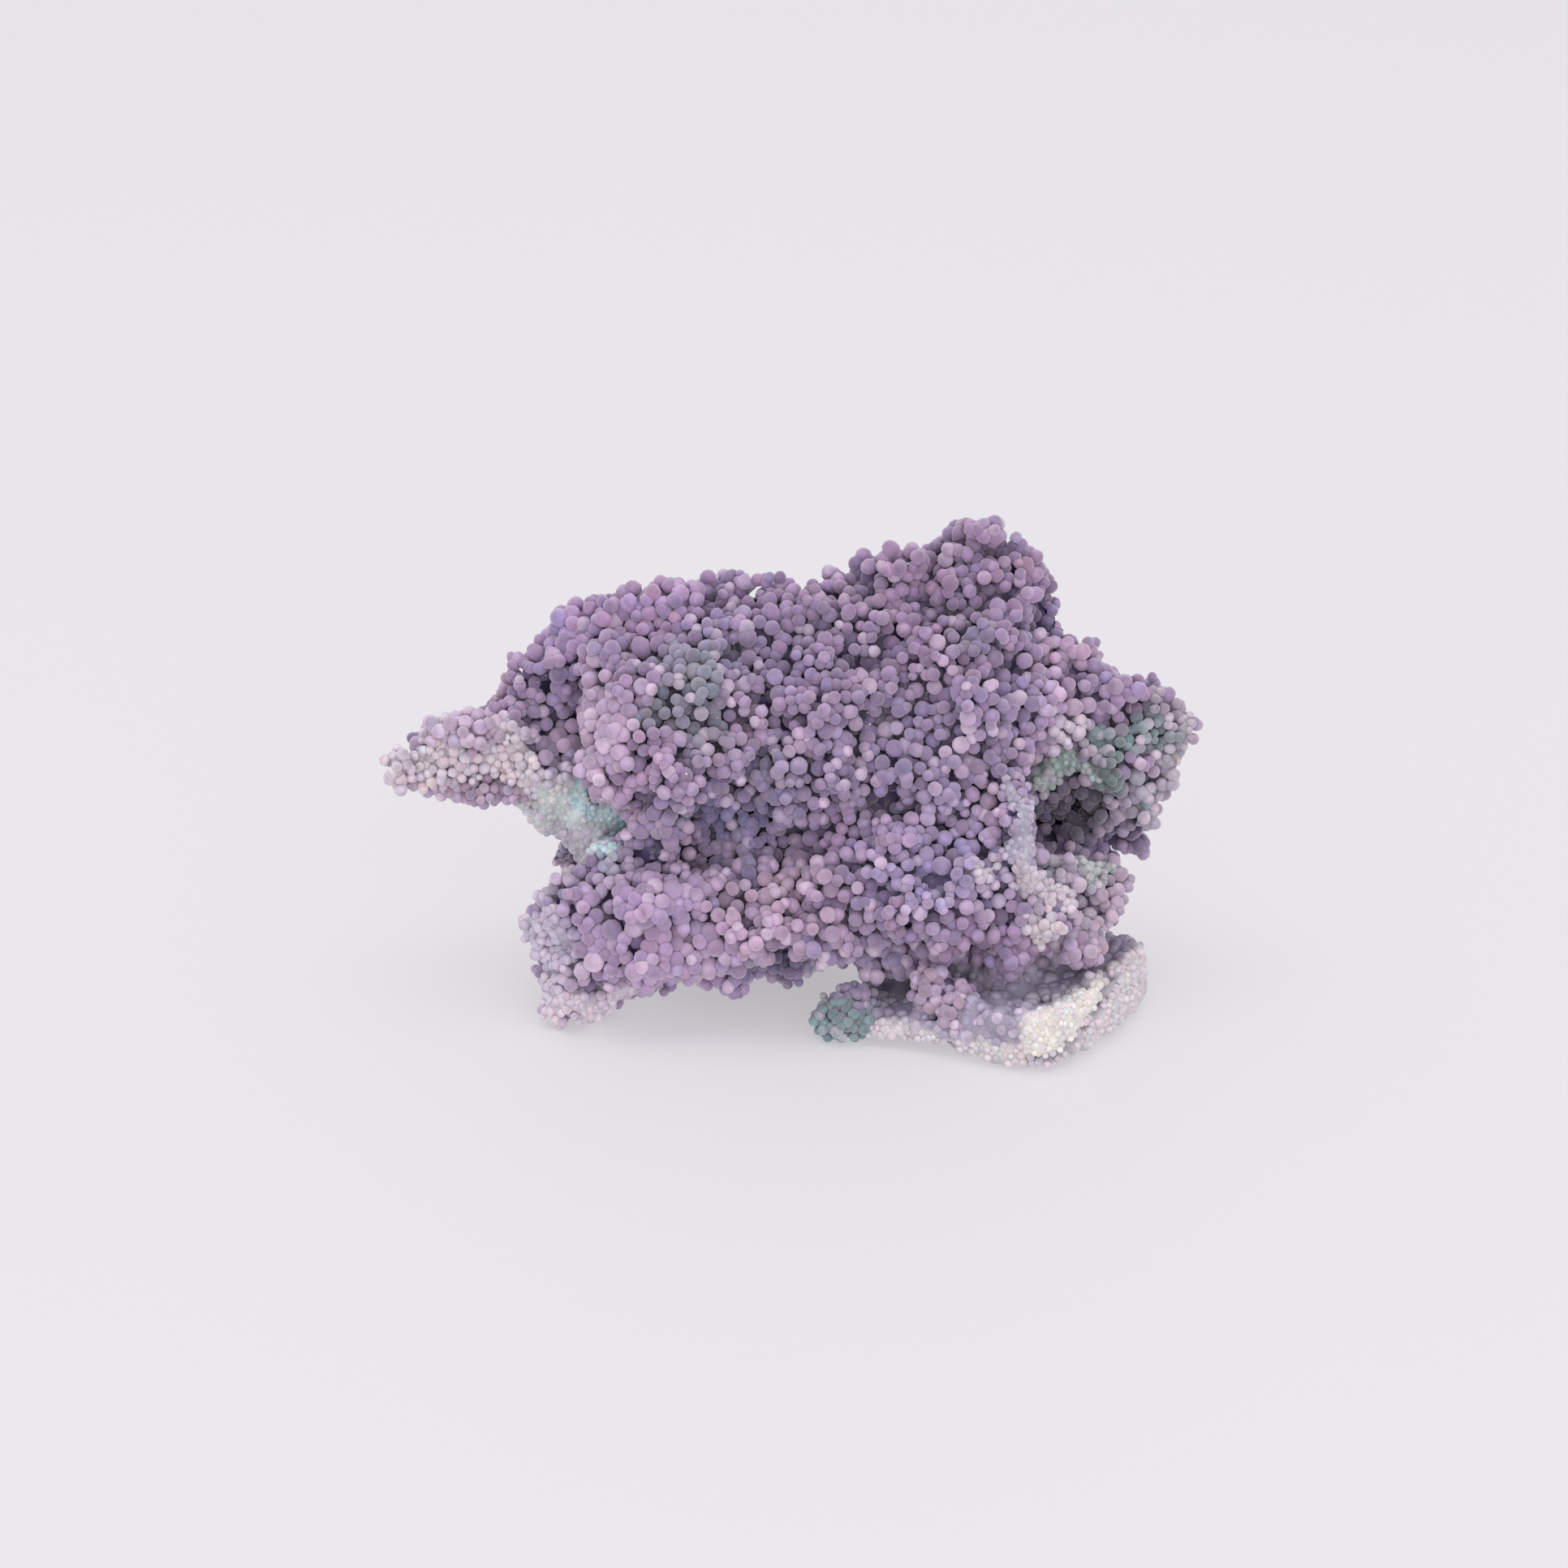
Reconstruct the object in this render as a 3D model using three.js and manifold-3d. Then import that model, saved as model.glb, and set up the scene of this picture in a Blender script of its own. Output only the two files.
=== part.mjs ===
// Botryoidal chalcedony, a hand specimen about 120 mm long. One crust of chalcedony, folded and broken out of its
// cavity, has grown over with round lumps like a bunch of grapes. It stands on a lobe at the left, a ledge at the
// right and a third lobe at the back. Millimetres, +Z up, +X along the length, -Y towards the face with the most
// lumps. The origin is on the ground, below the middle of the specimen's box.
import * as THREE from "three";
import { MarchingCubes } from "three/addons/objects/MarchingCubes.js";
import { mergeVertices } from "three/addons/utils/BufferGeometryUtils.js";
import Module from "manifold-3d";

const wasm = await Module();
wasm.setup();

// The lobes of the crust: where each one's middle lies, its half sizes, and how it is turned, in degrees about X, Y, Z.
// A fine lobe is the broken or worn rind of the crust, which has small lumps only.
const LOBES = {
  // The broad face, which leans back and carries the largest growth.
  faceLeft: { at: [-17, 2.5, 43], half: [13.5, 10, 16], turn: [-30, 0, 12] },
  faceMiddle: { at: [2.8, 5, 46], half: [21, 9, 17], turn: [-34, 0, 0] },
  faceRight: { at: [22, 5, 46], half: [15, 10, 17], turn: [-32, 0, -10] },
  faceFoot: { at: [4, 6, 29], half: [24, 9.5, 11.5], turn: [-20, 0, 0] },
  // The crest along the top.
  peak: { at: [28, 14, 64], half: [7, 6.5, 6.2], turn: [0, 6, 0] },
  peakRight: { at: [32.8, 13, 57.5], half: [6, 6.5, 8.5], turn: [0, 0, 0] },
  crestMiddle: { at: [9, 13, 58], half: [16, 7, 5.5], turn: [0, -9, 0] },
  crestLeft: { at: [-11, 13, 55], half: [14, 7, 6.5], turn: [0, 0, 0] },
  shoulder: { at: [-26.5, 12, 51], half: [10.5, 8, 8], turn: [0, -24, 0] },
  shoulderTip: { at: [-36.5, 11, 48.5], half: [5, 5.5, 5], turn: [0, 0, 0] },
  // The wing at the left and the bare notch below it.
  wingLeft: { at: [-43, 9.5, 38], half: [13.5, 7, 6], turn: [0, -8, 0] },
  wingLeftTip: { at: [-52, 7, 37], half: [5, 5, 4.2], turn: [0, -5, 0] },
  notchUpper: { at: [-36, 12, 32], half: [7, 8, 6], turn: [0, 30, 0], fine: true },
  notch: { at: [-29, 12, 25.5], half: [9, 9.5, 10], turn: [0, 20, 0], fine: true },
  // The lower front: a lobe that reaches the ground, the fringe beside it, and the bulge over the ledge.
  lowerLeft: { at: [-23, -4.5, 15.5], half: [13, 10.5, 10], turn: [0, 8, 0] },
  footLeft: { at: [-30.5, -4.5, 9.4], half: [7.5, 6.5, 10.5], turn: [0, 0, 0] },
  fringe: { at: [-3, -6, 15], half: [16, 9.5, 8], turn: [0, -4, 0] },
  bulge: { at: [17.5, -6, 22.5], half: [15, 10.5, 9.8], turn: [0, 0, 0] },
  bulgeRight: { at: [34, -4, 18], half: [12, 10, 6.5], turn: [0, 6, 0] },
  spur: { at: [44.5, -1, 18.5], half: [5.4, 6.5, 4.6], turn: [0, 0, 0], fine: true },
  ridge: { at: [34.2, -7.5, 28.5], half: [3.4, 6, 10], turn: [0, -20, 0], fine: true },
  // The wing at the right, which overhangs a hollow.
  neckRight: { at: [36.3, 11.5, 47.2], half: [9.6, 8.5, 8.2], turn: [0, 25, 0] },
  wingRight: { at: [47.5, 12.5, 37.5], half: [10, 7.5, 9.5], turn: [0, 25, 0] },
  wingRightTip: { at: [54.4, 12, 39.5], half: [4.4, 5, 4.6], turn: [0, 0, 0] },
  wingRightLow: { at: [48.5, 14, 26.5], half: [6.6, 6.5, 8], turn: [0, -10, 0] },
  // The back, which ends in the third foot.
  backLeft: { at: [-19, 16, 36], half: [15, 12, 16], turn: [0, 0, 0] },
  backMiddle: { at: [5, 19, 42], half: [15, 11.5, 14], turn: [0, 0, 0] },
  backRight: { at: [28, 18, 30], half: [15, 12, 18], turn: [0, 0, 0] },
  backFoot: { at: [-4, 21, 10.5], half: [17, 10.5, 12], turn: [0, 0, 0] },
  heart: { at: [2, 12, 28], half: [29, 10.5, 17], turn: [0, 0, 0] },
  ledgeRoot: { at: [28, 3, 9], half: [17, 11, 7.5], turn: [0, 0, 0] },
};
const LOBE_BLEND = 2.5;

// The lumps fused to the crust: radii, how far their middles sink below it as a share of the radius, how closely
// they pack, how far one runs into the next, and how many places are tried on each lobe.
const COARSE_RADIUS = [3.8, 5.2];
const FINE_RADIUS = [3.0, 3.6];
const FINE_MARGIN = 0.5;
const LUMP_SINK = 0.2;
const LUMP_PACKING = 0.8;
const LUMP_BLEND = 0.4;
const LUMP_TRIES = 260;
const LUMP_SEED = 11;
// Places closer to the ground than this, or deeper than this below the crust, take no lump.
const GROUND_CLEAR = 2.5;
const BURIED = 2;

// The ledge under the bulge: its outline on the ground, the points that its edge is drawn with, its height at the
// thin left end and at the thick corner, the share of its length in which it thickens, and the width of its edge.
const LEDGE_OUTLINE = [
  [3.5, -11.5], [9, -16], [20, -20], [28, -24.5], [36.5, -27.5], [43.5, -20], [50, -9.5],
  [53.5, 2], [47, 12], [28, 12], [12, 4], [5, -5],
];
const LEDGE_POINTS = 28;
const LEDGE_THIN = 3.4;
const LEDGE_THICK = 8.6;
const LEDGE_RISE = 0.6;
const LEDGE_EDGE = 1.4;
const LEDGE_EDGE_SHARE = 0.2;
const LEDGE_SINK = 0.4;

// Lumps with places of their own: the knob at the ledge's thin end, and the sprout on its top.
const LEDGE_LUMPS = [
  { at: [5.5, -12, 3.4], radius: 3.3 },
  { at: [10.5, -13.5, 4], radius: 3.2 },
  { at: [21.5, -15.5, 8.5], radius: 3.2 },
  { at: [25, -16, 8], radius: 3 },
];
// The lumps along the ledge's rim: the share of the outline where they start and end, how many, their radius, and
// how far in and how high their middles lie.
const RIM = { from: 0.19, to: 0.55, count: 12, radius: 3, inset: 2.6, height: 6.8 };

// The grid that the skin is drawn on: its cell, its width, and its middle.
const CELL = 2.86;
const SPAN = 138;
const GRID_MIDDLE = new THREE.Vector3(1, 3, 36);
const MOST_TRIANGLES = 30000;
const SLOPE_STEP = 0.05;
const GROUND_DEPTH = 20;

const { degToRad, lerp, smoothstep } = THREE.MathUtils;
const turned = (turn) => new THREE.Quaternion().setFromEuler(new THREE.Euler(...turn.map(degToRad)));

// A repeatable source of numbers from 0 to 1.
function seeded(seed) {
  let state = seed;
  return () => {
    state = (state + 0x6d2b79f5) | 0;
    let t = Math.imul(state ^ (state >>> 15), 1 | state);
    t = (t + Math.imul(t ^ (t >>> 7), 61 | t)) ^ t;
    return ((t ^ (t >>> 14)) >>> 0) / 4294967296;
  };
}

// The lower of two distances, rounded where they meet.
function blend(a, b, width) {
  const share = Math.max(width - Math.abs(a - b), 0) / width;
  return Math.min(a, b) - (share * share * width) / 4;
}

// A lobe's outward distance at a point, true near its surface, as a function of the point.
function lobeDistance({ at, half, turn }) {
  const middle = new THREE.Vector3(...at);
  const size = new THREE.Vector3(...half);
  const back = turned(turn).invert();
  const q = new THREE.Vector3();
  return (p) => {
    q.subVectors(p, middle).applyQuaternion(back).divide(size);
    const reach = q.length();
    return (reach * (reach - 1)) / (q.divide(size).length() || 1);
  };
}

const lobes = Object.values(LOBES);
const lobeDistances = lobes.map(lobeDistance);
const fineDistances = lobes.filter(({ fine }) => fine).map(lobeDistance);

function crustDistance(p) {
  return lobeDistances.reduce((nearest, distance) => blend(nearest, distance(p), LOBE_BLEND), SPAN);
}

// The direction in which the crust faces at a point.
function outward(p) {
  const here = crustDistance(p);
  const steps = [0, 1, 2].map((axis) => p.clone().setComponent(axis, p.getComponent(axis) + SLOPE_STEP));
  return new THREE.Vector3(...steps.map((step) => crustDistance(step) - here)).normalize();
}

// A place on a lobe's surface, picked at random.
function placeOn({ at, half, turn }, random) {
  const place = new THREE.Vector3().setFromSphericalCoords(1, Math.acos(2 * random() - 1), 2 * Math.PI * random());
  return place.multiply(new THREE.Vector3(...half)).applyQuaternion(turned(turn)).add(new THREE.Vector3(...at));
}

// The lumps spread over the crust, each a middle and a radius.
function crustLumps(random) {
  const lumps = [];
  for (const form of lobes)
    for (let i = 0; i < LUMP_TRIES; i++) {
      const place = placeOn(form, random);
      const fine = fineDistances.some((distance) => distance(place) < FINE_MARGIN);
      const radius = lerp(...(fine ? FINE_RADIUS : COARSE_RADIUS), random());
      if (crustDistance(place) < -BURIED || place.z < GROUND_CLEAR) continue;
      const drop = LUMP_SINK * radius + crustDistance(place);
      const middle = place.addScaledVector(outward(place), -drop);
      const free = lumps.every(
        (other) => other.middle.distanceTo(middle) > LUMP_PACKING * (other.radius + radius));
      if (free) lumps.push({ middle, radius });
    }
  return lumps;
}

const ledgeCurve = new THREE.CatmullRomCurve3(
  LEDGE_OUTLINE.map(([x, y]) => new THREE.Vector3(x, y, 0)), true, "centripetal");

// The lumps of the ledge: those with places of their own, and those along its rim.
function ledgeLumps() {
  const placed = LEDGE_LUMPS.map(({ at, radius }) => ({ middle: new THREE.Vector3(...at), radius }));
  const rim = Array.from({ length: RIM.count }, (_, i) => {
    const share = lerp(RIM.from, RIM.to, i / (RIM.count - 1));
    const along = ledgeCurve.getTangentAt(share);
    const middle = ledgeCurve.getPointAt(share).add(
      new THREE.Vector3(-along.y * RIM.inset, along.x * RIM.inset, RIM.height));
    return { middle, radius: RIM.radius };
  });
  return [...placed, ...rim];
}

// A closed three.js geometry as a solid that can be joined and cut.
function solidOf(geometry) {
  const bare = geometry.clone();
  bare.deleteAttribute("normal");
  bare.deleteAttribute("uv");
  const merged = mergeVertices(bare, 1e-3);
  const corners = [];
  for (let i = 0; i < merged.index.count; i += 3) {
    const [a, b, c] = [0, 1, 2].map((k) => merged.index.getX(i + k));
    if (a !== b && b !== c && c !== a) corners.push(a, b, c);
  }
  return new wasm.Manifold(
    new wasm.Mesh({
      numProp: 3,
      vertProperties: merged.attributes.position.array,
      triVerts: new Uint32Array(corners),
    }),
  );
}

// A solid as a three.js geometry.
function geometryOf(solid) {
  const mesh = solid.getMesh();
  const geometry = new THREE.BufferGeometry();
  geometry.setAttribute("position", new THREE.BufferAttribute(mesh.vertProperties, 3));
  geometry.setIndex(new THREE.BufferAttribute(mesh.triVerts, 1));
  return geometry;
}

// The skin over the lobes and the lumps together, without the small voids that stay shut in between them.
function skin(lumps) {
  const size = Math.ceil(SPAN / CELL);
  const cubes = new MarchingCubes(size, new THREE.MeshStandardMaterial(), false, false, MOST_TRIANGLES);
  cubes.isolation = 0;
  const at = (cell) => (cell - size / 2) * CELL;
  const p = new THREE.Vector3();
  for (let z = 0; z < size; z++)
    for (let y = 0; y < size; y++)
      for (let x = 0; x < size; x++) {
        p.set(at(x), at(y), at(z)).add(GRID_MIDDLE);
        const distance = lumps.reduce(
          (nearest, { middle, radius }) => blend(nearest, p.distanceTo(middle) - radius, LUMP_BLEND),
          crustDistance(p));
        cubes.setCell(x, y, z, -distance);
      }
  cubes.update();
  const positions = cubes.positionArray.slice(0, cubes.count * 3);
  const geometry = new THREE.BufferGeometry();
  geometry.setAttribute("position", new THREE.BufferAttribute(positions, 3));
  const scale = (size * CELL) / 2;
  geometry.scale(scale, scale, scale).translate(...GRID_MIDDLE);
  const shells = solidOf(geometry).decompose();
  return shells.reduce((largest, shell) => (shell.volume() > largest.volume() ? shell : largest));
}

// The ledge: its outline as a smooth closed curve, raised to a slab that thickens towards the corner.
function ledge() {
  const corners = ledgeCurve.getPoints(LEDGE_POINTS).slice(0, -1);
  const outline = new THREE.Shape(corners.map((p) => new THREE.Vector2(p.x, p.y)));
  const geometry = new THREE.ExtrudeGeometry(outline, {
    depth: 1 - 2 * LEDGE_EDGE_SHARE,
    bevelThickness: LEDGE_EDGE_SHARE,
    bevelSize: LEDGE_EDGE,
    bevelOffset: -LEDGE_EDGE,
    bevelSegments: 1,
    steps: 1,
  });
  geometry.translate(0, 0, LEDGE_EDGE_SHARE);
  const { min, max } = new THREE.Box3().setFromPoints(corners);
  const position = geometry.attributes.position;
  for (let i = 0; i < position.count; i++) {
    const rise = smoothstep(position.getX(i), min.x, lerp(min.x, max.x, LEDGE_RISE));
    position.setZ(i, position.getZ(i) * lerp(LEDGE_THIN, LEDGE_THICK, rise) - LEDGE_SINK);
  }
  return solidOf(geometry);
}

// The whole specimen: skin and ledge in one, flat where it stands on the ground, with its box over the origin.
function specimen() {
  const lumps = [...crustLumps(seeded(LUMP_SEED)), ...ledgeLumps()];
  const ground = new THREE.BoxGeometry(2 * SPAN, 2 * SPAN, GROUND_DEPTH).translate(0, 0, -GROUND_DEPTH / 2);
  const geometry = geometryOf(skin(lumps).add(ledge()).subtract(solidOf(ground)));
  geometry.computeBoundingBox();
  const middle = geometry.boundingBox.getCenter(new THREE.Vector3());
  return geometry.translate(-middle.x, -middle.y, 0);
}

const chalcedony = new THREE.Mesh(
  specimen(),
  new THREE.MeshStandardMaterial({ color: 0x9a82ab, roughness: 0.45, metalness: 0 }),
);
chalcedony.name = "chalcedony";

const part = new THREE.Group();
part.add(chalcedony);

export default part;
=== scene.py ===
import math
import bmesh
import bpy
import numpy as np
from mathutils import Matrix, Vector
from mathutils.bvhtree import BVHTree
from mathutils.kdtree import KDTree


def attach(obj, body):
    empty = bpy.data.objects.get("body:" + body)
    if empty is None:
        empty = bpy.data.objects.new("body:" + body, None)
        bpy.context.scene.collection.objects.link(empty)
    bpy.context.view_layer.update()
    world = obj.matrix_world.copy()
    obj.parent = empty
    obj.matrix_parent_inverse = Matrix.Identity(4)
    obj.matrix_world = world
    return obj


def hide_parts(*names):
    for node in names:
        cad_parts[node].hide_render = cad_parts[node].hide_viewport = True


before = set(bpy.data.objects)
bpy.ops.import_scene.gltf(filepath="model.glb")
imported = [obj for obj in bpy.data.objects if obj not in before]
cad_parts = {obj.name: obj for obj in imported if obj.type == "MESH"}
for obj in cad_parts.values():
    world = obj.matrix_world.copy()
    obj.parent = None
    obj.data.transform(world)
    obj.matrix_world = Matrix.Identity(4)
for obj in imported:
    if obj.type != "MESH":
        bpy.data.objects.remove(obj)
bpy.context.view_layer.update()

MM = 0.001


# Table, light and camera
# The specimen stands on a plain pale light table, lit faintly from below, under one broad soft lamp and a
# weaker one in front, and is seen from a little above.
ELEVATION = math.radians(20)
DISTANCE = 0.65
AIM = Vector((-2.557, -3.333, 35.1)) * MM
LENS, SENSOR = 100.93, 36
LAMP_AIM = Vector((0, 0, 0.03))
SKY = (0.783, 0.768, 0.807, 1)
TABLE_REACH = 3
TABLE_COLOUR, TABLE_ROUGHNESS = (0.33, 0.324, 0.334, 1), 0.6
TABLE_GLOW, GLOW_STRENGTH = (0.98, 0.965, 1, 1), 0.435

camera_data = bpy.data.cameras.new("camera")
camera_data.lens, camera_data.sensor_width = LENS, SENSOR
camera = bpy.data.objects.new("camera", camera_data)
camera.location = AIM + DISTANCE * Vector((0, -math.cos(ELEVATION), math.sin(ELEVATION)))
camera.rotation_euler = (math.pi / 2 - ELEVATION, 0, 0)
bpy.context.collection.objects.link(camera)
bpy.context.scene.camera = camera
bpy.context.scene.view_settings.view_transform = "Standard"


def lamp(name, at, size, power, colour):
    """A square area light of a size, aimed at the specimen's middle."""
    data = bpy.data.lights.new(name, "AREA")
    data.size, data.energy, data.color = size, power, colour
    light = bpy.data.objects.new(name, data)
    light.location = at
    light.rotation_euler = (LAMP_AIM - Vector(at)).to_track_quat("-Z", "Y").to_euler()
    bpy.context.collection.objects.link(light)


lamp("overhead", (-0.2, -0.15, 1.7), 1.5, 9, (1, 0.99, 0.985))
lamp("front", (0.1, -0.85, 0.18), 0.8, 3.4, (1, 0.99, 0.98))

world = bpy.data.worlds.new("studio")
world.use_nodes = True
world.node_tree.nodes["Background"].inputs["Color"].default_value = SKY
world.node_tree.nodes["Background"].inputs["Strength"].default_value = 1
bpy.context.scene.world = world

table_mesh = bpy.data.meshes.new("table")
corners = [(x * TABLE_REACH, y * TABLE_REACH, 0) for x, y in ((-1, -1), (1, -1), (1, 1), (-1, 1))]
table_mesh.from_pydata(corners, [], [(0, 1, 2, 3)])
table_top = bpy.data.materials.new("table_top")
table_top.use_nodes = True
table_shader = table_top.node_tree.nodes["Principled BSDF"]
table_shader.inputs["Base Color"].default_value = TABLE_COLOUR
table_shader.inputs["Roughness"].default_value = TABLE_ROUGHNESS
table_shader.inputs["Emission Color"].default_value = TABLE_GLOW
table_shader.inputs["Emission Strength"].default_value = GLOW_STRENGTH
table_mesh.materials.append(table_top)
table = bpy.data.objects.new("table", table_mesh)
bpy.context.collection.objects.link(table)


# The crust
# One sheet of chalcedony that carries everything else: finely crystalline, and painted dark under the balls
# as the shade in the gaps between them, and a bare lumpy rind at the notch and on the ledge, a broken plate
# with a cloudy top. It is the solid's skin, moved inwards by a depth that varies from place to place, and
# broken off between the fringe and the ledge.
VOXEL, SMOOTHING, WELD = 1.0, 6, 0.01
# How deep the crust lies under the solid's skin, in millimetres: under the balls, and where it is bare.
CRUST_DEPTH, RIND_DEPTH = 3.4, 0.55
LUMP_LENGTH, LUMP_DEPTH = 3.6, 0.6
SOFT_BORDER = (1.25, 0.7)
# Where the ledge ends and where it has fully begun: from above, from the left and from the back.
LEDGE_FADE = 0.8
LEDGE_TOP, LEDGE_LEFT, LEDGE_BACK = 9.4, (0.5, 1.5), (11, 10)
# The bunch of balls on the ledge and the knob at its left end: middle and half size.
LEDGE_BUNCH = ((21, -19, 9), (4.6, 4, 5))
KNOB = ((6.3, -16, 3.5), (6, 4.5, 5))
# The line behind which the ledge's top ends in its broken rim: a point on it and the way across it.
RIM_LINE, RIM_TOP = ((32, -29.6), (0.82, -0.57)), 3.8
RIM_WANDER, RIM_WANDER_LENGTH = 0.8, 6
# The groove starts at a place towards the front and a height, and climbs towards the back.
GROOVE_START, GROOVE_RISE, GROOVE_WIDTH, GROOVE_DEPTH = (-29.9, 1.8), 0.46, 1.3, 1.4
GROOVE_LEFT, GROOVE_BACK = (31, 34), (-6, -9)
SLOT_TOP, SLOT_MIDDLE, SLOT_REACH, SLOT_BACK = (1.9, 1.3), 15, (8, 6), (-10, -12)
# Places where the stone lies deeper than the solid's skin: middle, half size and depth in millimetres. The
# strut joins the fringe to the ledge's left end in the solid only, and is dug away and then broken off.
PITS = {
    "blue pit": ((-8, -8, 31.5), (11, 8, 6), 1.2),
    "gap in the face": ((-5.6, -10, 44.7), (3.5, 5, 4), 1),
    "hollow beside the ridge": ((37, -11, 30), (3.5, 8, 9), 2.6),
    "bottom of the hollow": ((38, 8, 25), (6, 8, 6), 0.9),
    "fold beside the pink rim": ((-34.4, -2, 47), (2.5, 5, 8), 1.6),
    "right side of the peak": ((31, 7, 69), (5, 10, 4), 2.2),
    "step under the peak": ((37, 5, 61), (4, 9, 5), 2),
    "strut": ((-1, -18, 7.6), (8, 8, 5), 5),
    "left side of the peak": ((19, 9, 70), (3, 9, 3), 1.8),
    "dip in the crest": ((7.5, 9, 66), (3, 8, 3), 1.8),
    "dip beside the shoulder": ((-12.5, 8, 62), (3, 10, 4), 1.3),
    "dark spot under the peak": ((23, 0, 60.5), (7, 5, 2.2), 1.5),
    "dark spot under the crest": ((3, -2, 58.5), (5, 5, 3), 1.2),
    "underside of the right wing": ((53, 7, 21.5), (9, 12, 3.5), 3),
    "foot of the notch": ((-38.5, 8, 20.5), (5, 16, 3.5), 3.4),
    "right slope": ((39, 6, 57), (5, 10, 6), 1.8),
}
# Where the strut is broken off: middle and half size.
STRUT = ((0, -17.5, 7.8), (5, 6.5, 4.8))
# The least height of the crust over the table.
CRUST_FLOOR = 0.05
# How many sine waves make a relief, how their lengths spread about its own, and the range of their phases.
WAVES, WAVE_SPREAD, PHASES = 9, (0.6, 1.3), 7


def ramp(values, low, high):
    """0 where values are at low, 1 where they are at high, and a smooth S between."""
    share = np.clip((values - low) / (high - low), 0, 1)
    return share * share * (3 - 2 * share)


def waves(places, length, seed):
    """Smooth relief, mostly from -1 to 1: a sum of sine waves of a length, in directions drawn once."""
    draws = np.random.default_rng(seed)
    ways = draws.normal(size=(WAVES, 3))
    turns = 2 * math.pi / length * draws.uniform(*WAVE_SPREAD, (WAVES, 1))
    ways *= turns / np.linalg.norm(ways, axis=1)[:, None]
    return np.sin(places @ ways.T + draws.uniform(0, PHASES, WAVES)).mean(1) * 2


def inside(places, middle, half):
    """1 inside an ellipsoid, 0 outside, soft over its border."""
    return ramp(np.linalg.norm((places - middle) / half, axis=1), *SOFT_BORDER)


def on_ledge(places):
    """1 on the ledge: low down under the right half of the crust, but not on its bunch or its knob."""
    x, y, z = places.T
    low = ramp(z, LEDGE_TOP + LEDGE_FADE, LEDGE_TOP) * ramp(x, *LEDGE_LEFT)
    return low * ramp(y, *LEDGE_BACK) * (1 - inside(places, *LEDGE_BUNCH)) * (1 - inside(places, *KNOB))


def on_rim(places):
    """1 on the ledge's broken rim: past a line across its top, or low down on its side."""
    wander = RIM_WANDER * waves(places, RIM_WANDER_LENGTH, 6)
    past = (places[:, :2] - RIM_LINE[0]) @ RIM_LINE[1] + wander
    low = ramp(places[:, 2] + wander, RIM_TOP + LEDGE_FADE, RIM_TOP - LEDGE_FADE)
    return on_ledge(places) * np.maximum(ramp(past, -1, 1), low)


def above_groove(places):
    """How far places lie above the groove's line, which climbs towards the back, in millimetres."""
    return places[:, 2] - (GROOVE_START[1] + GROOVE_RISE * (places[:, 1] - GROOVE_START[0]))


def groove(places):
    """1 along the groove that climbs the ledge's right side, and in the slot under the lip at its left."""
    x, y, z = places.T
    near = ramp(np.abs(above_groove(places)), GROOVE_WIDTH, 0.3 * GROOVE_WIDTH)
    near *= ramp(x, *GROOVE_LEFT) * ramp(y, *GROOVE_BACK)
    slot = ramp(z, *SLOT_TOP) * ramp(np.abs(x - SLOT_MIDDLE), *SLOT_REACH) * ramp(y, *SLOT_BACK)
    return np.maximum(near, slot)


def lumps(places):
    """How much deeper than elsewhere the rind lies between its lumps, in millimetres."""
    return -LUMP_DEPTH * waves(places, LUMP_LENGTH, 8)


def dug(places):
    """How much deeper than elsewhere the stone lies in the pits, in millimetres."""
    return sum(depth * inside(places, middle, half) for middle, half, depth in PITS.values())


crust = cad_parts["chalcedony"].copy()
crust.data = crust.data.copy()
crust.name = "crust"
bpy.context.collection.objects.link(crust)
crust.modifiers.new("weld", "WELD").merge_threshold = WELD * MM
remesh = crust.modifiers.new("remesh", "REMESH")
remesh.mode, remesh.voxel_size = "VOXEL", VOXEL * MM
crust.modifiers.new("smooth", "SMOOTH").iterations = SMOOTHING
evaluated = crust.evaluated_get(bpy.context.evaluated_depsgraph_get())
crust_mesh = bpy.data.meshes.new_from_object(evaluated)
crust.modifiers.clear()
crust.data = crust_mesh

skin, skin_normals = (np.empty((len(crust_mesh.vertices), 3), np.float32) for _ in range(2))
crust_mesh.vertices.foreach_get("co", skin.ravel())
crust_mesh.vertices.foreach_get("normal", skin_normals.ravel())
crust_mesh.calc_loop_triangles()
skin_corners = np.empty((len(crust_mesh.loop_triangles), 3), np.int32)
crust_mesh.loop_triangles.foreach_get("vertices", skin_corners.ravel())
skin /= MM
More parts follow.
